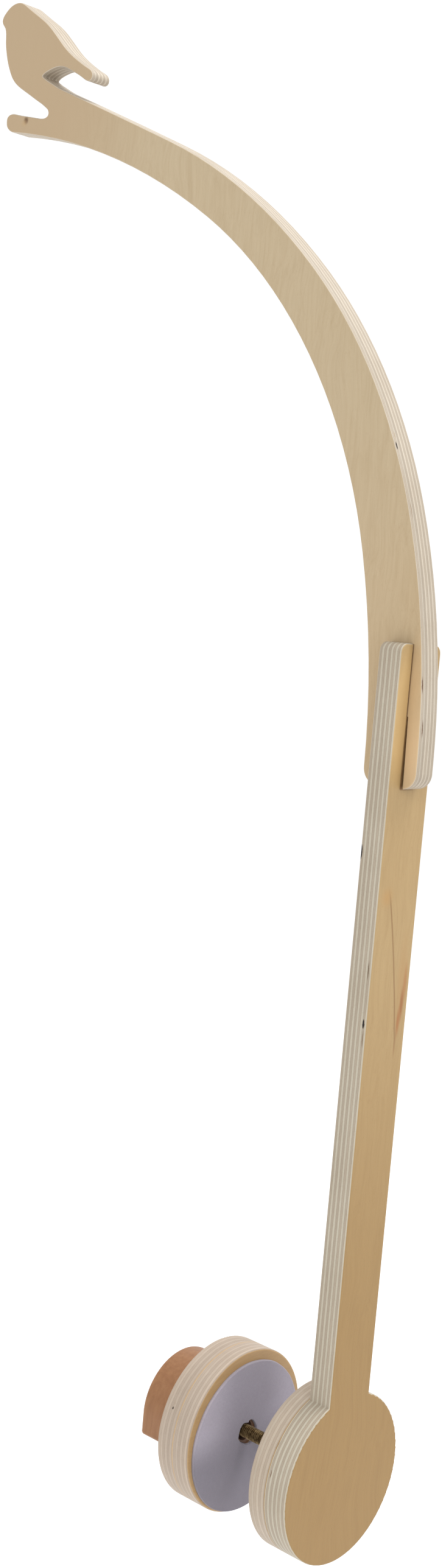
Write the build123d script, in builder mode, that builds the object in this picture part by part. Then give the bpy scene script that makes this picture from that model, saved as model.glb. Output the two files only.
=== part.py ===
from build123d import *
import os

# Clamp-on crib mobile arm with a bird-shaped hook.
# Millimetres, +Z up. The origin is the centre of the fixed jaw's felt face, on
# the clamp screw's axis. The screw runs along X: the arm board stands on the +X
# side and the knob is at the -X end. The curved arm leans out towards -X.

# ---- boards and discs -------------------------------------------------------
ARM_T = 15.0            # plywood thickness of both arm boards
DISC_T = 12.0           # plywood thickness of each clamp disc
ARM_W = 35.0            # width of the straight arm
FIXED_R = 49.0          # radius of the fixed jaw discs
JAW_R = 48.5            # radius of the moving jaw discs
FELT_T = 2.0            # felt pad thickness
FIXED_PAD_R = 45.0
JAW_PAD_R = 45.2
JAW_PAD_Y, JAW_PAD_Z = 0.3, -2.8    # the moving pad is glued a little low
EASE = 1.0              # rounding of the boards' edges

# ---- positions along the screw ----------------------------------------------
BACK_X0 = FELT_T                    # pad side of the backing disc
ARM_X0 = BACK_X0 + DISC_T           # back of the straight arm
ARM_X1 = ARM_X0 + ARM_T             # front of the straight arm
GAP = 43.5                          # clear gap between the two felt pads
JAW_X1 = -GAP - FELT_T              # wooden face of the moving jaw
JAW_XM = JAW_X1 - DISC_T            # glue line inside the moving jaw
JAW_X0 = JAW_XM - DISC_T            # back of the moving jaw
PLAY = 0.1                          # face play beside the washer
WASHER_T, WASHER_R, WASHER_BORE = 1.6, 12.0, 4.4
WASHER_X1 = JAW_X0 - PLAY
KNOB_X1 = WASHER_X1 - WASHER_T - PLAY
KNOB_L, KNOB_R = 27.5, 32.3
KNOB_FLAT_Z = -13.7                 # flat side of the knob
KNOB_X0 = KNOB_X1 - KNOB_L

# ---- screw ------------------------------------------------------------------
ROD_R = 4.0             # M8 rod
NUT_BORE_R = 4.05       # running fit inside the insert
INSERT_R = 6.0          # outside radius of both threaded inserts
JAW_BORE_R = 6.0        # clearance hole through the moving jaw
PAD_HOLE_R = 7.0        # hole in both felt pads
ROD_TIP_X = 11.0        # nine millimetres of thread are engaged
ROD_TAIL_X = KNOB_X1 - 18.0
RUNOUT_R, RUNOUT_X1 = 4.6, ARM_X0 + 12.0   # blind run-out hole in the arm

# ---- cross-lap joint between the two arms -----------------------------------
ARM_TOP_Z = 469.0       # top of the straight arm
LEG_Z = 391.0           # lower end of the curved arm
LAP_Z = (ARM_TOP_Z + LEG_Z) / 2
SLOT_PLAY = 0.5         # clearance on each side of a slot
SLOT_LEAN = 1.0         # extra opening of the curved arm's slot at its mouth, outer wall only
LAP_PLAY = 0.1          # clearance between the two slot ends
ARM_MID_X = (ARM_X0 + ARM_X1) / 2

# ---- outline of the curved arm in the XZ plane ------------------------------
LEG_X0, LEG_X1 = 2.6, 38.8
LEG_R = 9.0
SLOT_EASE = 0.4         # broken corners along the curved arm's slot
INNER_ARCS = [          # concave edge from the leg upwards: radius, turn
    (461.8, 14.48), (312.9, 43.75), (474.5, 23.46),
]
OUTER_ARCS = [          # convex edge from the leg upwards: radius, turn
    (564.2, 3.0), (417.5, 15.91), (321.4, 27.13), (393.5, 21.31), (7014.3, 0.9),
]
BIRD_EDGE = [
    # rounded tip of the hook
    (-335.6, 771.0), (-338.0, 773.4), (-338.7, 776.5), (-338.1, 779.5),
    (-335.6, 780.9), (-327.2, 779.9), (-319.0, 778.2), (-310.5, 776.4),
    # throat of the hook
    (-304.2, 775.3), (-300.5, 775.6), (-298.5, 777.0), (-298.7, 779.1),
    (-301.2, 781.5),
    # belly and breast
    (-304.9, 783.9), (-310.4, 786.9), (-316.5, 790.4), (-322.3, 793.6),
    (-327.6, 796.6), (-332.2, 799.7), (-335.8, 803.2), (-339.0, 808.2),
    (-341.9, 814.4), (-343.9, 820.6), (-345.2, 827.0), (-345.8, 833.4),
    # small blunt beak and crown
    (-346.8, 836.2), (-348.7, 838.4), (-349.9, 840.8), (-349.2, 843.6),
    (-347.2, 845.8), (-344.4, 848.0), (-340.6, 849.9), (-336.4, 850.7),
    # back and top of the tail
    (-331.0, 849.9), (-325.8, 847.0), (-318.8, 842.5), (-311.4, 837.9),
    (-304.8, 833.4), (-298.6, 828.1), (-292.4, 822.2), (-286.4, 816.6),
    (-279.6, 811.3), (-272.4, 806.6),
    # blunt end of the tail and its underside
    (-263.9, 801.7), (-260.6, 799.6), (-259.2, 797.3), (-259.4, 795.1),
    (-260.9, 793.7), (-263.3, 793.6), (-269.0, 796.4), (-275.2, 799.8),
    (-280.6, 802.4),
    # notch under the tail, narrowing to a point
    (-286.7, 804.9), (-293.1, 805.6), (-298.7, 804.8), (-302.9, 803.7),
    (-305.4, 802.6), (-306.4, 801.7), (-305.1, 800.4), (-300.1, 797.5),
    (-294.6, 794.7),
]

os.makedirs("parts", exist_ok=True)


def save(piece, name):
    """Label a finished piece and write it."""
    piece.label = name
    export_step(piece, f"parts/{name}.step")


# ---- straight arm with the disc of the fixed jaw ----------------------------
with BuildPart() as lower_arm:
    with BuildSketch(Plane.YZ.offset(ARM_X0)) as arm_face:
        with BuildLine():
            arm_side = Polyline((-ARM_W / 2, 0), (-ARM_W / 2, ARM_TOP_Z), (ARM_W / 2, ARM_TOP_Z), (ARM_W / 2, 0), close=True)
        make_face()
        fillet(arm_face.vertices().group_by(Axis.Y)[-1], radius=5)
        Circle(FIXED_R)
    extrude(amount=ARM_T)
    # eased edges, except where the backing disc is glued on
    outline = lower_arm.edges().filter_by(Plane.YZ)
    front = outline.filter_by_position(Axis.X, ARM_X1 - 0.01, ARM_X1 + 0.01)
    back = outline.filter_by_position(Axis.X, ARM_X0 - 0.01, ARM_X0 + 0.01).filter_by_position(Axis.Z, 60, ARM_TOP_Z + 1)
    fillet(front + back, radius=EASE)
    # slot for the curved arm, open at the top
    with BuildSketch(Plane.YZ.offset(ARM_X0)):
        with Locations((0, (LAP_Z + ARM_TOP_Z + 5) / 2)):
            Rectangle(ARM_T + 2 * SLOT_PLAY, ARM_TOP_Z + 5 - LAP_Z)
    extrude(amount=ARM_T, mode=Mode.SUBTRACT)
    # blind run-out hole for the screw tip
    with BuildSketch(Plane.YZ.offset(ARM_X0)):
        Circle(RUNOUT_R)
    extrude(amount=RUNOUT_X1 - ARM_X0, mode=Mode.SUBTRACT)
save(lower_arm.part, "lower_arm")

# ---- backing disc, glued behind the arm's disc ------------------------------
with BuildPart() as backing_disc:
    with BuildSketch(Plane.YZ.offset(BACK_X0)):
        Circle(FIXED_R)
        Circle(INSERT_R, mode=Mode.SUBTRACT)
    extrude(amount=DISC_T)
    rim = backing_disc.edges().filter_by(GeomType.CIRCLE).group_by(SortBy.RADIUS)[-1].sort_by(Axis.X)[0]
    fillet(rim, radius=EASE)
save(backing_disc.part, "backing_disc")

# ---- threaded insert in the backing disc ------------------------------------
with BuildPart() as clamp_insert:
    with BuildSketch(Plane.YZ.offset(BACK_X0)):
        Circle(INSERT_R)
        Circle(NUT_BORE_R, mode=Mode.SUBTRACT)
    extrude(amount=DISC_T)
    mouth = clamp_insert.edges().filter_by(GeomType.CIRCLE).group_by(SortBy.RADIUS)[0].sort_by(Axis.X)[0]
    chamfer(mouth, length=0.6)
save(clamp_insert.part, "clamp_insert")

# ---- felt pad of the fixed jaw ----------------------------------------------
with BuildPart() as fixed_pad:
    with BuildSketch(Plane.YZ):
        Circle(FIXED_PAD_R)
        Circle(PAD_HOLE_R, mode=Mode.SUBTRACT)
    extrude(amount=FELT_T)
save(fixed_pad.part, "fixed_pad")

# ---- curved arm with the bird hook, one board -------------------------------
with BuildPart() as upper_arm:
    with BuildSketch(Plane.XZ) as arch_face:
        with BuildLine():
            Line((LEG_X0 + LEG_R, LEG_Z), (LEG_X1 - LEG_R, LEG_Z))
            RadiusArc((LEG_X0 + LEG_R, LEG_Z), (LEG_X0, LEG_Z + LEG_R), LEG_R)
            RadiusArc((LEG_X1, LEG_Z + LEG_R), (LEG_X1 - LEG_R, LEG_Z), LEG_R)
            ends = []
            for x, arcs in ((LEG_X0, INNER_ARCS), (LEG_X1, OUTER_ARCS)):
                at, way = Vector(x, LEG_Z + LEG_R), Vector(0, 1)
                for radius, turn in arcs:
                    arc = JernArc(start=at, tangent=way, radius=radius, arc_size=turn)
                    at, way = arc @ 1, arc % 1
                ends.append((at, way))
            (tip, tip_way), (back, back_way) = ends
            Spline(tip, *BIRD_EDGE, back, tangents=[tip_way, back_way * -1], tangent_scalars=(1.0, 1.0))
        make_face()
    extrude(amount=ARM_T / 2, both=True)
    fillet(upper_arm.edges().filter_by(Plane.XZ), radius=EASE)
    # slot for the straight arm, open at the bottom, its outer wall leaning away
    slot_end = LAP_Z + LAP_PLAY
    slot_side = ARM_T / 2 + SLOT_PLAY
    with BuildSketch(Plane.XZ):
        with BuildLine():
            Polyline(
                (ARM_MID_X - slot_side, LEG_Z), (ARM_MID_X - slot_side, slot_end),
                (ARM_MID_X + slot_side, slot_end), (ARM_MID_X + slot_side + SLOT_LEAN, LEG_Z),
                (ARM_MID_X + slot_side + SLOT_LEAN, LEG_Z - 5), (ARM_MID_X - slot_side, LEG_Z - 5), close=True)
        make_face()
    extrude(amount=ARM_T, both=True, mode=Mode.SUBTRACT)
    # broken corners along both walls
    for side, lean in ((-1, 0), (1, SLOT_LEAN)):
        mouth = Vector(ARM_MID_X + side * slot_side + lean, 0, LEG_Z)
        run = Vector(ARM_MID_X + side * slot_side, 0, slot_end) - mouth
        along = run.normalized()
        with BuildSketch(Plane(origin=mouth - along * 5, x_dir=(along.Z, 0, -along.X), z_dir=along)):
            with Locations((0, ARM_T / 2), (0, -ARM_T / 2)):
                Rectangle(SLOT_EASE * 2 ** 0.5, SLOT_EASE * 2 ** 0.5, rotation=45)
        extrude(amount=run.length + 5, mode=Mode.SUBTRACT)
save(upper_arm.part, "upper_arm")

# ---- moving jaw: two discs glued face to face -------------------------------
with BuildPart() as jaw_front_disc:
    with BuildSketch(Plane.YZ.offset(JAW_XM)):
        Circle(JAW_R)
        Circle(JAW_BORE_R, mode=Mode.SUBTRACT)
    extrude(amount=DISC_T)
    rim = jaw_front_disc.edges().filter_by(GeomType.CIRCLE).group_by(SortBy.RADIUS)[-1].sort_by(Axis.X)[-1]
    fillet(rim, radius=EASE)
save(jaw_front_disc.part, "jaw_front_disc")

with BuildPart() as jaw_rear_disc:
    with BuildSketch(Plane.YZ.offset(JAW_X0)):
        Circle(JAW_R)
        Circle(JAW_BORE_R, mode=Mode.SUBTRACT)
    extrude(amount=DISC_T)
    rim = jaw_rear_disc.edges().filter_by(GeomType.CIRCLE).group_by(SortBy.RADIUS)[-1].sort_by(Axis.X)[0]
    fillet(rim, radius=EASE)
save(jaw_rear_disc.part, "jaw_rear_disc")

# ---- felt pad of the moving jaw ---------------------------------------------
with BuildPart() as jaw_pad:
    with BuildSketch(Plane.YZ.offset(JAW_X1)):
        with Locations((JAW_PAD_Y, JAW_PAD_Z)):
            Circle(JAW_PAD_R)
        with Locations((0.5, -0.8)):
            Circle(PAD_HOLE_R, mode=Mode.SUBTRACT)
    extrude(amount=FELT_T)
save(jaw_pad.part, "jaw_pad")

# ---- thrust washer between the knob and the moving jaw ----------------------
with BuildPart() as thrust_washer:
    with BuildSketch(Plane.YZ.offset(WASHER_X1 - WASHER_T)):
        Circle(WASHER_R)
        Circle(WASHER_BORE, mode=Mode.SUBTRACT)
    extrude(amount=WASHER_T)
save(thrust_washer.part, "thrust_washer")

# ---- screw: rod, knob and the insert that joins them ------------------------
with BuildPart() as threaded_rod:
    with BuildSketch(Plane.YZ.offset(ROD_TAIL_X)):
        Circle(ROD_R)
    extrude(amount=ROD_TIP_X - ROD_TAIL_X)
    chamfer(threaded_rod.edges().filter_by(GeomType.CIRCLE), length=0.8)
save(threaded_rod.part, "threaded_rod")

with BuildPart() as knob_insert:
    with BuildSketch(Plane.YZ.offset(KNOB_X1 - 16)):
        Circle(INSERT_R)
        Circle(ROD_R, mode=Mode.SUBTRACT)
    extrude(amount=16)
save(knob_insert.part, "knob_insert")

with BuildPart() as knob:
    # round top, straight sides and one flat side
    with BuildSketch(Plane.YZ.offset(KNOB_X0)) as knob_face:
        Circle(KNOB_R)
        with Locations((0, KNOB_FLAT_Z / 2)):
            Rectangle(2 * KNOB_R, -KNOB_FLAT_Z)
        with Locations((0, KNOB_FLAT_Z - KNOB_R)):
            Rectangle(3 * KNOB_R, 2 * KNOB_R, mode=Mode.SUBTRACT)
        fillet(knob_face.vertices().group_by(Axis.Y)[0], radius=2.5)
    extrude(amount=KNOB_L)
    fillet(knob.edges().filter_by(Plane.YZ), radius=1.8)
    with BuildSketch(Plane.YZ.offset(KNOB_X1 - 16)):
        Circle(INSERT_R)
    extrude(amount=16, mode=Mode.SUBTRACT)
    with BuildSketch(Plane.YZ.offset(ROD_TAIL_X)):
        Circle(ROD_R)
    extrude(amount=KNOB_X1 - 16 - ROD_TAIL_X, mode=Mode.SUBTRACT)
save(knob.part, "knob")

print("screw engaged", ROD_TIP_X - BACK_X0, "rod length", ROD_TIP_X - ROD_TAIL_X, "run-out travel", RUNOUT_X1 - ROD_TIP_X)
print("knob", KNOB_X0, KNOB_X1, "jaw", JAW_X0, JAW_X1, "arm", ARM_X0, ARM_X1, "lap", LAP_Z)
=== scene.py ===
import bpy, bmesh, math, random
from mathutils import Vector, Matrix, noise


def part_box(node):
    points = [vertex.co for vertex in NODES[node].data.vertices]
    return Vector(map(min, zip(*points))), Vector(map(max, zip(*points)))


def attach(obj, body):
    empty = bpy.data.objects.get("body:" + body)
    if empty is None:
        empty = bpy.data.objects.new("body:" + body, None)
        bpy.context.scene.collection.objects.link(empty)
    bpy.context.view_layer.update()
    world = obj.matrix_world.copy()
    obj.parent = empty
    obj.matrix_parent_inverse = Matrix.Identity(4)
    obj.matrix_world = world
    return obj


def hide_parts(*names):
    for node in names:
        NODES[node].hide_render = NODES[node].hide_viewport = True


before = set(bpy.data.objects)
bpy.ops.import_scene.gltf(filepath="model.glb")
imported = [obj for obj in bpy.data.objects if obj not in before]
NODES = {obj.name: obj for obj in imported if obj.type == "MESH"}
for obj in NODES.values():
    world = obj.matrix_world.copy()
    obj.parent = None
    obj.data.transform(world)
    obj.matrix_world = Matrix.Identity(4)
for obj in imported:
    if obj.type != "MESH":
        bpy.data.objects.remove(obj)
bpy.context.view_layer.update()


# ---------------------------------------------------------------- shader help
def lin(c):
    """sRGB 0-255 to linear RGBA."""
    out = []
    for v in c:
        v = v / 255.0
        out.append(v / 12.92 if v <= 0.04045 else ((v + 0.055) / 1.055) ** 2.4)
    return (*out, 1.0)


class Graph:
    """A material's node tree, built with short calls that return sockets."""

    def __init__(self, name, rough=0.5, **sockets):
        self.mat = bpy.data.materials.new(name)
        self.mat.use_nodes = True
        self.t = self.mat.node_tree
        self.t.nodes.clear()
        out = self.t.nodes.new("ShaderNodeOutputMaterial")
        self.bsdf = self.t.nodes.new("ShaderNodeBsdfPrincipled")
        self.t.links.new(self.bsdf.outputs["BSDF"], out.inputs["Surface"])
        self.bsdf.inputs["Roughness"].default_value = rough
        for k, v in sockets.items():
            self.bsdf.inputs[k.replace("_", " ")].default_value = v
        self.tc = self.t.nodes.new("ShaderNodeTexCoord")
        self.mm = self.vmath("SCALE", self.tc.outputs["Object"], scale=1000.0)
        self.normal = self.tc.outputs["Normal"]

    def put(self, socket, value):
        if value is None:
            return
        if isinstance(value, bpy.types.NodeSocket):
            self.t.links.new(value, socket)
        else:
            socket.default_value = value

    def vmath(self, op, a, b=None, scale=None):
        n = self.t.nodes.new("ShaderNodeVectorMath")
        n.operation = op
        self.put(n.inputs[0], a)
        if b is not None:
            self.put(n.inputs[1], b)
        if scale is not None:
            self.put(n.inputs["Scale"], scale)
        return n.outputs["Value"] if op in ("LENGTH", "DISTANCE", "DOT_PRODUCT") else n.outputs["Vector"]

    def math(self, op, a, b=None, c=None, clamp=False):
        n = self.t.nodes.new("ShaderNodeMath")
        n.operation = op
        n.use_clamp = clamp
        self.put(n.inputs[0], a)
        if b is not None:
            self.put(n.inputs[1], b)
        if c is not None:
            self.put(n.inputs[2], c)
        return n.outputs[0]

    def split(self, v):
        n = self.t.nodes.new("ShaderNodeSeparateXYZ")
        self.put(n.inputs[0], v)
        return list(n.outputs)

    def join(self, x, y, z):
        n = self.t.nodes.new("ShaderNodeCombineXYZ")
        for s, v in zip(n.inputs, (x, y, z)):
            self.put(s, v)
        return n.outputs[0]

    def noise(self, vec, scale=1.0, detail=3.0, rough=0.5, warp=0.0, out="Fac"):
        n = self.t.nodes.new("ShaderNodeTexNoise")
        self.put(n.inputs["Vector"], vec)
        n.inputs["Scale"].default_value = scale
        n.inputs["Detail"].default_value = detail
        n.inputs["Roughness"].default_value = rough
        n.inputs["Distortion"].default_value = warp
        return n.outputs[out]

    def range(self, v, a, b, c=0.0, d=1.0, smooth=True):
        n = self.t.nodes.new("ShaderNodeMapRange")
        n.interpolation_type = "SMOOTHSTEP" if smooth else "LINEAR"
        n.clamp = True
        self.put(n.inputs["Value"], v)
        for k, x in zip(("From Min", "From Max", "To Min", "To Max"), (a, b, c, d)):
            self.put(n.inputs[k], x)
        return n.outputs["Result"]

    def ramp(self, fac, stops, interp="LINEAR"):
        n = self.t.nodes.new("ShaderNodeValToRGB")
        n.color_ramp.interpolation = interp
        e = n.color_ramp.elements
        while len(e) > 1:
            e.remove(e[-1])
        e[0].position, e[0].color = stops[0]
        for p, c in stops[1:]:
            e.new(p).color = c
        self.put(n.inputs["Fac"], fac)
        return n.outputs["Color"]

    def mix(self, fac, a, b, blend="MIX"):
        n = self.t.nodes.new("ShaderNodeMix")
        n.data_type = "RGBA"
        n.blend_type = blend
        n.clamp_factor = True
        self.put(n.inputs[0], fac)
        self.put(n.inputs[6], a)
        self.put(n.inputs[7], b)
        return n.outputs[2]

    def bump(self, height, strength=0.2, distance=0.0002, normal=None):
        n = self.t.nodes.new("ShaderNodeBump")
        n.inputs["Strength"].default_value = strength
        n.inputs["Distance"].default_value = distance
        self.put(n.inputs["Height"], height)
        if normal is not None:
            self.put(n.inputs["Normal"], normal)
        return n.outputs["Normal"]

    def stretched(self, scales, offset=(0, 0, 0)):
        """Object coordinates in mm, scaled on each axis."""
        return self.vmath("ADD", self.vmath("MULTIPLY", self.mm, scales), offset)

    def blob(self, centre, radii, soft=1.0, wobble=None):
        """1 inside a soft ellipsoid in mm, 0 outside."""
        p = self.mm if wobble is None else self.vmath("ADD", self.mm, wobble)
        d = self.vmath("SUBTRACT", p, centre)
        d = self.vmath("DIVIDE", d, radii)
        return self.range(self.vmath("LENGTH", d), 1.0, max(0.0, 1.0 - soft))


    def band(self, comp, spans, soft):
        """1 inside a soft-sided box in mm, given as (low, high) on each axis."""
        m = 1.0
        for c, (a, b) in zip(comp, spans):
            side = self.math("MULTIPLY", self.range(c, a - soft, a + soft), self.range(c, b + soft, b - soft))
            m = self.math("MULTIPLY", side, m)
        return m


# ------------------------------------------------------------------- plywood
LIGHT_PLY, DARK_PLY, GLUE = (180, 172, 155), (160, 148, 131), (138, 124, 105)


def plies(bounds, lo, hi, light, dark, glue, blur=0.16, first_dark=False):
    """Colour stops for a ply edge: bounds are the glue lines in mm from lo."""
    span = hi - lo
    tones = []
    rng = random.Random(int(lo * 10) + 77)
    for i in range(len(bounds) + 1):
        base = dark if (i % 2 == 1) != first_dark else light
        k = 1.0 + rng.uniform(-0.035, 0.035)
        tones.append(tuple(min(255, c * k) for c in base))
    stops = [(0.0, lin(tones[0]))]
    for i, b in enumerate(bounds):
        stops.append(((b - blur) / span, lin(tones[i])))
        stops.append((b / span, lin(glue)))
        stops.append(((b + blur) / span, lin(tones[i + 1])))
    return stops[:31] + [(1.0, lin(tones[-1]))]


def plywood(name, axis, lo, hi, bounds, face, light=LIGHT_PLY, dark=DARK_PLY, glue=GLUE,
            grain=2, bore=None, slot=None, pins=(), painted_shade_bands=(), marks=(), edge_marks=(), face_low=None, face_z=(0, 400), seed=0.0, rough=0.48, blur=0.16):
    """Plywood whose thickness runs along axis from lo to hi (mm). Grain axis on the face; marks are
    (centre, radii, colour, strength, softness) on the face, edge_marks the same on the edge."""
    g = Graph(name, rough=rough, Specular_IOR_Level=0.38)
    comp = g.split(g.mm)
    ncomp = g.split(g.normal)
    # face veneer or edge, from the depth below the face
    facing = g.range(g.math("ABSOLUTE", g.math("SUBTRACT", comp[axis], (lo + hi) / 2)), (hi - lo) / 2 - 0.40, (hi - lo) / 2 - 0.10)
    # --- edge: striped plies, wavering glue lines, fibres along the edge, pores in the end grain
    wob = g.noise(g.stretched((0.05, 0.05, 0.05), (seed, 3.1, 7.7)), 1.0, 2.0, 0.5)
    wob2 = g.noise(g.stretched((0.5, 0.5, 0.5), (seed, 9.1, 1.7)), 1.0, 2.0, 0.5)
    pos = g.math("ADD", comp[axis], g.math("MULTIPLY", g.math("SUBTRACT", wob, 0.5), 0.34))
    pos = g.math("ADD", pos, g.math("MULTIPLY", g.math("SUBTRACT", wob2, 0.5), 0.14))
    t = g.math("DIVIDE", g.math("SUBTRACT", pos, lo), hi - lo, clamp=True)
    edge = g.ramp(t, plies(bounds, lo, hi, light, dark, glue, blur))
    fine = [0.22, 0.22, 0.22]
    fine[axis] = 5.5
    fib = g.noise(g.stretched(fine, (seed, 0, 0)), 1.0, 4.0, 0.65)
    pore = g.noise(g.stretched((2.6, 2.6, 2.6), (seed, 5, 2)), 1.0, 2.0, 0.6)
    edge = g.mix(1.0, edge, g.ramp(fib, [(0.25, (0.84, 0.83, 0.81, 1)), (0.5, (1, 1, 1, 1)), (0.8, (1.06, 1.05, 1.04, 1))]), "MULTIPLY")
    edge = g.mix(1.0, edge, g.ramp(pore, [(0.30, (0.86, 0.84, 0.81, 1)), (0.42, (1, 1, 1, 1))]), "MULTIPLY")
    patch = g.noise(g.stretched((0.035, 0.035, 0.035), (seed, 2, 8)), 1.0, 2.0, 0.5)
    edge = g.mix(1.0, edge, g.ramp(patch, [(0.3, (0.955, 0.94, 0.92, 1)), (0.7, (1.03, 1.03, 1.03, 1))]), "MULTIPLY")
    for c, r, col, k, soft in edge_marks:
        wv = g.vmath("SCALE", g.vmath("SUBTRACT", g.noise(g.stretched((0.8, 0.8, 0.8), (seed, 1, 4)), 1.0, 2.0, 0.5, out="Color"), (0.5, 0.5, 0.5)), scale=min(r) * 0.9)
        edge = g.mix(g.math("MULTIPLY", g.blob(c, r, soft, wv), k), edge, lin(col))
    # --- face veneer: long fibres, faint growth rings, short pores, broad tone drift
    k_along, k_across = 0.010, 0.33
    sc = [k_across, k_across, k_across]
    sc[grain] = k_along
    sway = g.vmath("SCALE", g.vmath("SUBTRACT", g.noise(g.stretched((0.012, 0.012, 0.012), (seed, 4, 4)), 1.0, 2.0, 0.5, out="Color"), (0.5, 0.5, 0.5)), scale=26.0)
    swayed = g.vmath("ADD", g.mm, sway)
    fibre = g.noise(g.vmath("ADD", g.vmath("MULTIPLY", swayed, sc), (seed, seed, 0)), 1.0, 5.0, 0.62)
    sc2 = [1.9, 1.9, 1.9]
    sc2[grain] = 0.045
    hair = g.noise(g.vmath("MULTIPLY", swayed, sc2), 1.0, 3.0, 0.6)
    sc3 = [3.2, 3.2, 3.2]
    sc3[grain] = 0.42
    flecks = g.noise(g.vmath("MULTIPLY", g.mm, sc3), 1.0, 1.0, 0.5)
    ring_sc = [0.085, 0.085, 0.085]
    ring_sc[grain] = 0.0045
    ring = g.noise(g.vmath("ADD", g.vmath("MULTIPLY", swayed, ring_sc), (seed * 2, 1, 5)), 1.0, 1.5, 0.5)
    rings = g.math("SINE", g.math("MULTIPLY", ring, 60.0))
    drift = g.noise(g.stretched((0.009, 0.009, 0.0065), (seed, 6, 6)), 1.0, 2.0, 0.5)
    base = lin(face)
    # painted shade: the face colour runs from face at the top of face_z to the darker face_low at its bottom
    if face_low is not None:
        base = g.mix(g.range(comp[2], face_z[0], face_z[1]), lin(face_low), lin(face))
    col = g.mix(1.0, base, g.ramp(fibre, [(0.28, (0.945, 0.93, 0.905, 1)), (0.5, (1, 1, 1, 1)), (0.74, (1.03, 1.035, 1.04, 1))]), "MULTIPLY")
    col = g.mix(1.0, col, g.ramp(hair, [(0.3, (0.955, 0.945, 0.925, 1)), (0.55, (1, 1, 1, 1)), (0.8, (1.025, 1.025, 1.025, 1))]), "MULTIPLY")
    col = g.mix(1.0, col, g.ramp(g.math("MULTIPLY_ADD", rings, 0.5, 0.5), [(0.0, (1, 1, 1, 1)), (0.75, (0.995, 0.99, 0.985, 1)), (1.0, (0.975, 0.965, 0.95, 1))]), "MULTIPLY")
    col = g.mix(1.0, col, g.ramp(flecks, [(0.24, (0.87, 0.83, 0.77, 1)), (0.33, (1, 1, 1, 1))]), "MULTIPLY")
    col = g.mix(1.0, col, g.ramp(drift, [(0.3, (0.975, 0.96, 0.93, 1)), (0.7, (1.02, 1.03, 1.05, 1))]), "MULTIPLY")
    for c, r, colour, k, soft in marks:
        wv = g.vmath("SCALE", g.vmath("SUBTRACT", g.noise(g.stretched((0.12, 0.12, 0.03), (seed, 1, 4)), 1.0, 3.0, 0.5, out="Color"), (0.5, 0.5, 0.5)), scale=min(r) * 0.5)
        col = g.mix(g.math("MULTIPLY", g.blob(c, r, soft, wv), k), col, lin(colour))
    for (a2, a1, a0), mid, half, (za, zb), width, colour, k in pins:
        # a fine dark line in the veneer: y = a2 t^2 + a1 t + a0 with t = (z - mid) / half
        t = g.math("DIVIDE", g.math("SUBTRACT", comp[2], mid), half)
        line = g.math("MULTIPLY_ADD", g.math("MULTIPLY_ADD", t, a2, a1), t, a0)
        line = g.math("ADD", line, g.math("MULTIPLY", g.math("SUBTRACT", g.noise(g.stretched((0.0, 0.0, 0.05)), 1.0, 2.0, 0.5), 0.5), 0.8))
        near = g.range(g.math("ABSOLUTE", g.math("SUBTRACT", comp[1], line)), width * 1.6, width * 0.3)
        ends = g.math("MULTIPLY", g.range(comp[2], za, za + 12.0), g.range(comp[2], zb, zb - 12.0))
        front = g.range(comp[0], hi - 3.0, hi - 1.5)
        k = g.math("MULTIPLY", g.range(fibre, 0.2, 0.6, 0.75, 1.0), k)
        col = g.mix(g.math("MULTIPLY", g.math("MULTIPLY", g.math("MULTIPLY", near, ends), front), k), col, lin(colour))
    wood = g.mix(facing, edge, col)
    for spans, colour, k, soft in painted_shade_bands:
        # painted shade: dark lines painted along the gaps where the two boards meet
        wood = g.mix(g.math("MULTIPLY", g.band(comp, spans, soft), g.math("MULTIPLY", g.range(fib, 0.15, 0.6, 0.7, 1.0), k)), wood, lin(colour))
    if slot is not None:
        # painted shade: the walls of the lap slot are painted dark brown, for the shade in the gap: (axis, half width,
        # middle, end height, side of the end)
        ax, half, mid, end, way = slot
        off = g.math("ABSOLUTE", g.math("SUBTRACT", comp[ax], mid))
        slot_wall_shade = g.math("MULTIPLY", g.range(off, half + 1.60, half + 1.50), g.range(comp[2], end - 0.1 * way, end))
        slot_wall_shade = g.math("MULTIPLY", slot_wall_shade, g.range(g.math("ABSOLUTE", ncomp[ax]), 0.75, 0.95))
        wood = g.mix(g.math("MULTIPLY", slot_wall_shade, 0.75), wood, lin((104, 70, 42)))
    if bore is not None:
        # a drilled bore keeps a darker, scorched wall
        # painted shade: the wall of the drilled bore is painted dark, for the shade inside the hole
        radius = g.vmath("LENGTH", g.vmath("MULTIPLY", g.mm, (0.0, 1.0, 1.0)))
        wood = g.mix(g.math("MULTIPLY", g.range(radius, bore, bore - 0.8), 0.8), wood, lin((92, 52, 34)))
    g.put(g.bsdf.inputs["Base Color"], wood)
    # roughness and relief
    rr = g.math("ADD", g.math("MULTIPLY", hair, 0.16), g.math("MULTIPLY_ADD", facing, -0.10, rough + 0.02))
    g.put(g.bsdf.inputs["Roughness"], rr)
    face_h = g.math("ADD", g.math("MULTIPLY", hair, 0.6), g.math("MULTIPLY", flecks, 0.4))
    edge_h = g.math("ADD", g.math("MULTIPLY", fib, 0.9), g.math("MULTIPLY", pore, 0.6))
    height = g.math("ADD", g.math("MULTIPLY", face_h, facing), g.math("MULTIPLY", edge_h, g.math("SUBTRACT", 1.0, facing)))
    g.put(g.bsdf.inputs["Normal"], g.bump(height, 0.35, 0.00012))
    return g.mat


def wear(node, mat):
    o = NODES[node]
    o.data.materials.clear()
    o.data.materials.append(mat)


PLY11 = [0.75, 2.1, 3.6, 5.1, 6.6, 8.1, 9.55, 11.0, 12.5, 13.9]
PLY7 = [0.8, 2.5, 4.2, 6.0, 7.8, 9.5, 11.2]

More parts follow.
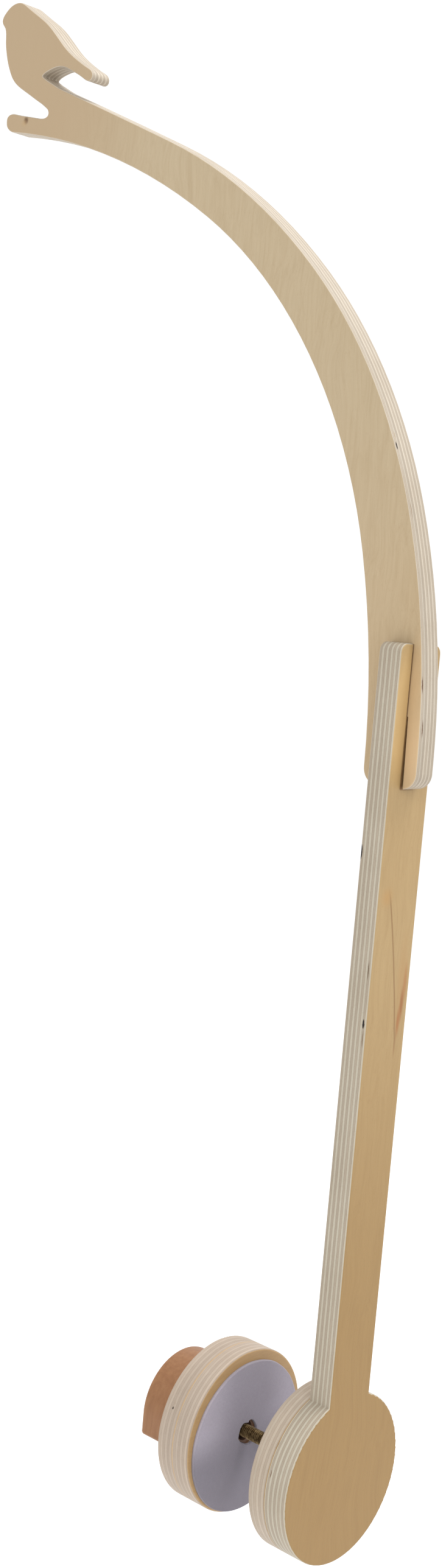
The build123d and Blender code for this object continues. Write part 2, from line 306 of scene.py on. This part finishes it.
BLACK = (26, 18, 12)
wear("lower_arm", plywood(
    "arm_plywood", 0, 14.0, 29.0, PLY11, face=(171, 144, 101), face_low=(150, 119, 71), face_z=(70, 340), grain=2, seed=2.3, slot=(1, 8.0, 0.0, 430.1, 1),
    pins=[((-1.379, -7.626, 2.663), 290.0, 40.0, (246.0, 338.0), 0.62, (122, 86, 46), 0.62)],
    marks=[
        ((29.0, 10.5, 286.0), (9.0, 6.5, 34.0), (166, 128, 80), 0.50, 1.0),
        ((29.0, 13.6, 283.0), (9.0, 2.4, 16.0), (160, 110, 62), 0.70, 0.9),
        ((29.0, 12.1, 271.0), (9.0, 2.3, 13.0), (146, 95, 50), 0.88, 0.82),
        ((29.0, 10.4, 261.5), (9.0, 2.2, 11.5), (154, 102, 56), 0.84, 0.82),
        ((29.0, 9.2, 249.0), (9.0, 1.3, 12.0), (136, 98, 58), 0.60, 0.9),
        ((29.0, -10.0, 332.0), (9.0, 7.0, 8.0), (174, 134, 80), 0.60, 1.0),
        # painted light: a paler patch on the arm's face around the lap, where the boards meet
        ((29.0, -12.0, 431.0), (12.0, 13.0, 46.0), (206, 173, 120), 0.62, 0.6),
    ],
    # painted shade: a dark strip along the gap beside the arch's leg, and a thin dark line under the leg's bottom edge
    painted_shade_bands=[
        (((28.0, 30.0), (-7.95, -5.8), (390.8, 430.5)), (96, 58, 26), 0.74, 0.3),
        (((28.0, 30.0), (-7.6, 4.0), (390.2, 391.5)), (120, 82, 44), 0.5, 0.4),
    ],
    edge_marks=[
        ((14.6, -17.5, 355.2), (0.85, 3.0, 4.6), BLACK, 1.0, 0.3),
        ((12.95 + 14, -17.5, 292.0), (0.45, 3.0, 6.5), (92, 72, 48), 0.9, 0.6),
        ((13.0 + 14, -17.5, 262.8), (0.8, 3.0, 3.1), BLACK, 1.0, 0.3),
        ((13.3 + 14, -17.5, 254.5), (0.45, 3.0, 6.0), (104, 82, 56), 0.8, 0.7),
        ((14.0, -41.0, 26.8), (0.5, 5.4, 6.0), (96, 78, 62), 0.95, 0.6),
        ((16.0, -47.4, 12.2), (0.4, 3.0, 3.0), (100, 70, 48), 0.9, 0.6),
        ((23.3, 17.5, 205.0), (0.5, 3.0, 4.0), (60, 44, 30), 0.9, 0.5),
    ]))

wear("upper_arm", plywood(
    "arch_plywood", 1, -7.5, 7.5, PLY11, face=(176, 158, 128), face_low=(176, 155, 123), face_z=(440, 620), grain=2, seed=8.1, rough=0.5, slot=(0, 8.0, 21.5, 430.0, -1),
    light=(186, 176, 160), dark=(168, 156, 140), glue=(148, 133, 114),
    marks=[
        ((-345.0, -7.5, 800.0), (170.0, 60.0, 170.0), (170, 147, 116), 0.9, 0.7),
        ((-319.0, -7.5, 775.6), (2.9, 6.0, 3.3), (100, 72, 42), 0.92, 0.8),
        ((-320.6, -7.5, 774.0), (3.4, 6.0, 3.0), (176, 146, 104), 0.5, 0.9),
        # painted light: paler patches on the face of the arch's leg beside the lap
        ((36.0, -7.5, 412.0), (15.0, 6.0, 38.0), (212, 180, 138), 0.60, 0.9),
        ((33.0, -7.5, 448.0), (9.0, 6.0, 36.0), (200, 170, 128), 0.55, 0.9),
    ],
    # painted shade: a dark line on the arch's face along the gap at the arm's slot
    painted_shade_bands=[
        (((27.9, 29.40), (-8.5, -6.5), (429.5, 468.8)), (102, 64, 30), 0.70, 0.3),
    ],
    edge_marks=[
        ((3.9, -6.0, 573.2), (2.6, 0.62, 2.6), BLACK, 1.0, 0.4),
        ((1.3, -5.2, 578.9), (2.4, 0.4, 2.6), (150, 122, 86), 0.8, 0.7),
        ((17.2, -5.2, 539.6), (4.0, 0.35, 6.5), (124, 96, 66), 0.8, 0.7),
        ((36.7, -6.6, 447.6), (4.0, 0.6, 5.5), (92, 62, 40), 0.95, 0.6),
        ((38.2, -5.2, 424.4), (4.0, 0.6, 6.0), (96, 66, 42), 0.95, 0.6),
        ((-150.0, 3.0, 700.0), (5.0, 0.4, 5.0), (110, 84, 58), 0.8, 0.6),
    ]))

DISC_FACE = (160, 131, 88)
wear("backing_disc", plywood("backing_plywood", 0, 2.0, 14.0, PLY7, face=DISC_FACE, grain=2, seed=4.4,
     light=(176, 163, 147), dark=(165, 151, 135), glue=(148, 131, 113),
     edge_marks=[((14.0, -41.0, 26.8), (0.5, 5.4, 6.0), (96, 78, 62), 0.95, 0.6), ((8.3, -34.0, -35.0), (0.3, 12.0, 12.0), (130, 106, 80), 0.5, 0.8)]))
wear("jaw_front_disc", plywood("jaw_front_plywood", 0, -57.5, -45.5, PLY7, face=(178, 146, 102), grain=1, seed=5.9, bore=9.4,
     light=(177, 162, 147), dark=(166, 151, 136), glue=(149, 132, 115)))
wear("jaw_rear_disc", plywood("jaw_rear_plywood", 0, -69.5, -57.5, PLY7, face=(180, 150, 106), grain=2, seed=7.2, bore=7.0,
     light=(177, 162, 147), dark=(167, 152, 137), glue=(149, 132, 115),
     edge_marks=[((-63.2, -44.5, 19.4), (0.7, 2.6, 1.1), (52, 40, 30), 1.0, 0.6), ((-63.0, -43.4, 22.0), (0.3, 2.6, 2.2), (140, 120, 100), 0.6, 0.8)]))


# ---------------------------------------------------------------------- knob
def knob_wood():
    g = Graph("knob_beech", rough=0.42, Specular_IOR_Level=0.4)
    sway = g.vmath("SCALE", g.vmath("SUBTRACT", g.noise(g.stretched((0.03, 0.03, 0.03), (1, 4, 4)), 1.0, 2.0, 0.5, out="Color"), (0.5, 0.5, 0.5)), scale=9.0)
    p = g.vmath("ADD", g.mm, sway)
    fibre = g.noise(g.vmath("MULTIPLY", p, (0.35, 0.35, 0.035)), 1.0, 4.0, 0.6)
    hair = g.noise(g.vmath("MULTIPLY", p, (2.0, 2.0, 0.10)), 1.0, 3.0, 0.6)
    flecks = g.noise(g.vmath("MULTIPLY", g.mm, (2.8, 2.8, 0.5)), 1.0, 1.0, 0.5)
    drift = g.noise(g.stretched((0.05, 0.05, 0.03), (3, 3, 3)), 1.0, 2.0, 0.5)
    col = g.ramp(fibre, [(0.25, lin((130, 89, 55))), (0.5, lin((139, 97, 62))), (0.78, lin((147, 107, 71)))])
    col = g.mix(1.0, col, g.ramp(hair, [(0.3, (0.93, 0.91, 0.89, 1)), (0.6, (1.02, 1.02, 1.02, 1))]), "MULTIPLY")
    col = g.mix(1.0, col, g.ramp(flecks, [(0.20, (0.86, 0.82, 0.78, 1)), (0.28, (1, 1, 1, 1))]), "MULTIPLY")
    col = g.mix(1.0, col, g.ramp(drift, [(0.3, (0.95, 0.92, 0.90, 1)), (0.7, (1.05, 1.05, 1.05, 1))]), "MULTIPLY")
    g.put(g.bsdf.inputs["Base Color"], col)
    g.put(g.bsdf.inputs["Roughness"], g.math("MULTIPLY_ADD", hair, 0.2, 0.34))
    g.put(g.bsdf.inputs["Normal"], g.bump(g.math("ADD", hair, flecks), 0.3, 0.00012))
    return g.mat


wear("knob", knob_wood())


# --------------------------------------------------------------------- metal
def metal(name, colour, dirt, rough, scratch_axis=0):
    g = Graph(name, rough=rough, Metallic=1.0)
    blot = g.noise(g.stretched((0.5, 0.5, 0.5), (2, 2, 2)), 1.0, 3.0, 0.6)
    sc = [2.5, 2.5, 2.5]
    sc[scratch_axis] = 0.3
    line = g.noise(g.stretched(tuple(sc)), 1.0, 3.0, 0.6)
    col = g.mix(g.range(blot, 0.35, 0.7), lin(dirt), lin(colour))
    col = g.mix(1.0, col, g.ramp(line, [(0.3, (0.88, 0.88, 0.88, 1)), (0.7, (1.06, 1.06, 1.06, 1))]), "MULTIPLY")
    g.put(g.bsdf.inputs["Base Color"], col)
    g.put(g.bsdf.inputs["Roughness"], g.math("MULTIPLY_ADD", blot, 0.22, rough - 0.08))
    g.put(g.bsdf.inputs["Normal"], g.bump(line, 0.15, 0.00005))
    return g.mat


BRONZE = metal("screw_dark_bronze", (122, 104, 74), (70, 54, 34), 0.36)
ZINC = metal("insert_zinc", (176, 172, 160), (128, 122, 108), 0.4, 1)
for n in ("clamp_insert", "knob_insert", "thrust_washer"):
    wear(n, ZINC)


# ------------------------------------------------------ the screw, as a thread
def smooth(o):
    for p in o.data.polygons:
        p.use_smooth = True
    return o


def mesh_object(name, bm, mat):
    me = bpy.data.meshes.new(name)
    bm.to_mesh(me)
    bm.free()
    o = bpy.data.objects.new(name, me)
    bpy.context.scene.collection.objects.link(o)
    me.materials.append(mat)
    return o


def thread():
    """M8 x 1.25 right-hand thread on the rod's own length, crests at 4 mm radius."""
    (x0, _, _), (x1, _, _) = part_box("threaded_rod")
    pitch, r_out, depth, seg, per = 1.25e-3, 4.0e-3, 0.68e-3, 40, 10
    bm = bmesh.new()
    rings = []
    n = int(round((x1 - x0) / pitch * per))
    for i in range(n + 1):
        x = x0 + (x1 - x0) * i / n
        end = min(x - x0, x1 - x)
        taper = 0.8e-3 * max(0.0, 1.0 - end / 0.8e-3)
        ring = []
        for k in range(seg):
            a = 2 * math.pi * k / seg
            ph = (x / pitch - a / (2 * math.pi)) % 1.0
            tri = abs(2 * ph - 1)                       # 1 at the crest
            prof = min(1.0, max(0.0, (tri - 0.14) / 0.70))
            r = min(r_out - depth * (1 - prof), r_out - taper)
            r += 0.012e-3 * noise.noise(Vector((x * 4000, a * 3, 1.7)))
            r = min(r, r_out)
            ring.append(bm.verts.new((x, r * math.cos(a), r * math.sin(a))))
        rings.append(ring)
    for a, b in zip(rings, rings[1:]):
        for k in range(seg):
            m = (k + 1) % seg
            bm.faces.new((a[k], b[k], b[m], a[m]))
    bm.faces.new(rings[0])
    bm.faces.new(list(reversed(rings[-1])))
    bmesh.ops.recalc_face_normals(bm, faces=bm.faces)
    return smooth(mesh_object("screw_thread", bm, BRONZE))


screw = thread()
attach(screw, "screw")
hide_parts("threaded_rod")


# ---------------------------------------------------------------------- felt
def felt_material(name, colour, seed):
    g = Graph(name, rough=0.95, Specular_IOR_Level=0.12, Sheen_Weight=0.35, Sheen_Roughness=0.6)
    g.bsdf.inputs["Sheen Tint"].default_value = lin((225, 222, 235))
    clump = g.noise(g.stretched((0.55, 0.55, 0.55), (seed, 1, 1)), 1.0, 4.0, 0.65)
    fuzz = g.noise(g.stretched((4.0, 4.0, 4.0), (seed, 2, 5)), 1.0, 3.0, 0.7, warp=1.2)
    strand = g.noise(g.stretched((1.2, 3.4, 0.9), (seed, 7, 3)), 1.0, 3.0, 0.6, warp=2.0)
    broad = g.noise(g.stretched((0.04, 0.04, 0.04), (seed, 7, 3)), 1.0, 2.0, 0.5)
    col = g.mix(1.0, lin(colour), g.ramp(fuzz, [(0.28, (0.80, 0.80, 0.81, 1)), (0.5, (1, 1, 1, 1)), (0.75, (1.13, 1.12, 1.12, 1))]), "MULTIPLY")
    col = g.mix(1.0, col, g.ramp(clump, [(0.3, (0.95, 0.95, 0.96, 1)), (0.7, (1.04, 1.04, 1.04, 1))]), "MULTIPLY")
    col = g.mix(1.0, col, g.ramp(strand, [(0.3, (0.93, 0.93, 0.94, 1)), (0.65, (1.03, 1.03, 1.03, 1))]), "MULTIPLY")
    col = g.mix(1.0, col, g.ramp(broad, [(0.3, (0.96, 0.95, 0.95, 1)), (0.7, (1.03, 1.03, 1.04, 1))]), "MULTIPLY")
    # painted light and shade: the felt is paler towards the sides above the middle and darker below it
    _, y, z = g.split(g.mm)
    up = g.range(z, -16.0, 12.0)
    left = g.math("MULTIPLY", g.range(y, -8.0, -36.0), 0.42)
    right = g.math("MULTIPLY", g.range(y, 10.0, 38.0), 0.32)
    painted_shading = g.math("MULTIPLY_ADD", g.math("ADD", g.math("ADD", left, right), 0.29), up, 0.71)
    col = g.mix(1.0, col, g.join(painted_shading, painted_shading, painted_shading), "MULTIPLY")
    g.put(g.bsdf.inputs["Base Color"], col)
    h = g.math("ADD", g.math("MULTIPLY", fuzz, 0.6), g.math("MULTIPLY", strand, 0.5))
    g.put(g.bsdf.inputs["Normal"], g.bump(h, 0.8, 0.0004))
    return g.mat


def felt(name, x0, x1, up, cy, cz, R, hole, mat, seed):
    """A cut felt disc. up is the x of its free face; the hole is a list of (y, z) in mm."""
    N = 144
    inner = []
    for k in range(N):
        a = 2 * math.pi * k / N
        # ray from the hole's middle to its outline
        hy = sum(p[0] for p in hole) / len(hole)
        hz = sum(p[1] for p in hole) / len(hole)
        d = Vector((math.cos(a), math.sin(a)))
        best = 6.0
        for (ay, az), (by, bz) in zip(hole, hole[1:] + hole[:1]):
            ex, ez = by - ay, bz - az
            den = d.x * ez - d.y * ex
            if abs(den) < 1e-9:
                continue
            s = ((ay - hy) * ez - (az - hz) * ex) / den
            u = ((ay - hy) * d.y - (az - hz) * d.x) / den
            if s > 0 and 0 <= u <= 1:
                best = s
        inner.append((hy + best * d.x, hz + best * d.y))
    rng = random.Random(seed)
    bm = bmesh.new()
    rows = []
    T = abs(x1 - x0) * 1000
    base, sgn = (x0, 1) if up == x1 else (x1, -1)
    # profile from the glued face at the rim, over the free face, to the glued face at the hole
    prof = [(1.0, 0.0, -0.05), (1.0, 0.55, 0.0), (1.0, 0.80, -0.12), (1.0, 0.94, -0.38), (1.0, 1.0, -0.85)]
    radial = [0.965, 0.93, 0.88, 0.82, 0.75, 0.68, 0.60, 0.52, 0.44, 0.36, 0.29, 0.22, 0.16, 0.11, 0.07, 0.04, 0.02]
    spec = [(1.0, h, o) for _, h, o in prof] + [(f, 1.0, 0.0) for f in radial] + [(0.0, 1.0, 0.55), (0.0, 0.93, 0.2), (0.0, 0.75, 0.03), (0.0, 0.4, 0.0), (0.0, 0.0, 0.05)]
    for f, h, off in spec:
        row = []
        for k in range(N):
            a = 2 * math.pi * k / N
            wob = 0.22 * noise.noise(Vector((math.cos(a) * 3.0, math.sin(a) * 3.0, seed))) + 0.10 * noise.noise(Vector((math.cos(a) * 14, math.sin(a) * 14, seed + 4)))
            ro = R - 0.3 + wob + (off if f == 1.0 else 0.0)
            oy, oz = cy + ro * math.cos(a), cz + ro * math.sin(a)
            iy, iz = inner[k]
            if f == 0.0:
                il = math.hypot(iy, iz) or 1.0
                iy, iz = iy + off * math.cos(a), iz + off * math.sin(a)
            y, z = iy + (oy - iy) * f, iz + (oz - iz) * f
            hh = h * T
            if h == 1.0:
                hh -= 0.05 + 0.05 * (1 + noise.noise(Vector((y * 0.09, z * 0.09, seed)))) + 0.035 * (1 + noise.noise(Vector((y * 0.6, z * 0.6, seed + 9))))
            row.append(bm.verts.new((base + sgn * hh / 1000, y / 1000, z / 1000)))
        rows.append(row)
    rows.append(rows[0])
    for a, b in zip(rows, rows[1:]):
        for k in range(N):
            m = (k + 1) % N
            bm.faces.new((a[k], a[m], b[m], b[k]))
    bmesh.ops.recalc_face_normals(bm, faces=bm.faces)
    o = smooth(mesh_object(name, bm, mat))
    return o


HOLE = [(-7.1, -2.7), (-6.7, 0.9), (-6.0, 3.3), (-4.1, 5.4), (-2.6, 5.7), (0.7, 5.0), (1.1, 6.2), (2.7, 6.5), (4.9, 5.5),
        (6.8, 3.4), (8.2, 1.2), (8.7, -0.9), (8.0, -4.2), (6.2, -7.2), (3.6, -8.8), (1.4, -8.4), (-0.9, -7.3), (-4.9, -5.2)]
ROUND = [(7.0 * math.cos(2 * math.pi * k / 24), 7.0 * math.sin(2 * math.pi * k / 24)) for k in range(24)]
(jx0, _, _), (jx1, _, _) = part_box("jaw_pad")
jaw_felt = felt("jaw_felt", jx0, jx1, jx1, 0.3, -2.8, 45.2, HOLE, felt_material("felt_grey", (148, 142, 150), 1.0), 3)
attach(jaw_felt, "jaw")
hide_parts("jaw_pad")
(fx0, _, _), (fx1, _, _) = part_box("fixed_pad")
fixed_felt = felt("fixed_felt", fx0, fx1, fx0, 0.0, 0.0, 45.0, ROUND, felt_material("felt_grey_fixed", (148, 142, 150), 6.0), 8)
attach(fixed_felt, "stand")
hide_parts("fixed_pad")

# --------------------------------------------------------------- floor, light
floor_z = -0.42
bm = bmesh.new()
bmesh.ops.create_grid(bm, x_segments=8, y_segments=8, size=30.0)
g = Graph("studio_floor", rough=0.9, Specular_IOR_Level=0.1)
pale = g.ramp(g.noise(g.stretched((0.0004, 0.0004, 0.0004)), 1.0, 2.0, 0.5), [(0.3, (0.955, 0.955, 0.955, 1)), (0.7, (0.965, 0.965, 0.965, 1))])
g.put(g.bsdf.inputs["Base Color"], pale)
floor = mesh_object("studio_floor", bm, g.mat)
floor.location = (0, 0, floor_z)

scene = bpy.context.scene
scene.view_settings.view_transform = "Standard"
scene.view_settings.look = "None"
world = bpy.data.worlds.new("studio")
scene.world = world
world.use_nodes = True
wn = world.node_tree
wn.nodes.clear()
wo = wn.nodes.new("ShaderNodeOutputWorld")
bg = wn.nodes.new("ShaderNodeBackground")
bg.inputs["Color"].default_value = (1.0, 1.0, 1.0, 1)
bg.inputs["Strength"].default_value = 1.07
wn.links.new(bg.outputs[0], wo.inputs[0])


def area(name, place, target, size, power, colour=(1, 1, 1)):
    d = bpy.data.lights.new(name, "AREA")
    d.shape = "DISK"
    d.size = size
    d.energy = power
    d.color = colour
    o = bpy.data.objects.new(name, d)
    scene.collection.objects.link(o)
    o.location = place
    o.rotation_euler = (Vector(target) - Vector(place)).to_track_quat("-Z", "Y").to_euler()
    return o


area("key_top", (0.5, 0.9, 3.0), (-0.1, 0.0, 0.4), 1.6, 54)
area("front_left", (1.3, -2.2, 2.2), (0.0, 0.0, 0.1), 0.8, 15)

# -------------------------------------------------------------------- camera
C = Vector((0.63091, -0.80326, 0.49122))
YAW, PITCH, ROLL = (math.radians(a) for a in (42.615, 6.0701, 4.8621))
r = Vector((math.cos(YAW), math.sin(YAW), 0))
d = Vector((-math.sin(YAW) * math.cos(PITCH), math.cos(YAW) * math.cos(PITCH), -math.sin(PITCH)))
u = r.cross(d)
r2 = math.cos(ROLL) * r + math.sin(ROLL) * u
u2 = -math.sin(ROLL) * r + math.cos(ROLL) * u
cam_data = bpy.data.cameras.new("camera")
cam_data.sensor_fit = "AUTO"
cam_data.sensor_width = 36.0
cam_data.lens = 3058.887 / 2576.0 * 36.0
cam_data.clip_start = 0.01
cam = bpy.data.objects.new("camera", cam_data)
scene.collection.objects.link(cam)
cam.matrix_world = Matrix(((r2.x, u2.x, -d.x, C.x), (r2.y, u2.y, -d.y, C.y), (r2.z, u2.z, -d.z, C.z), (0, 0, 0, 1)))
scene.camera = cam
bpy.context.view_layer.update()
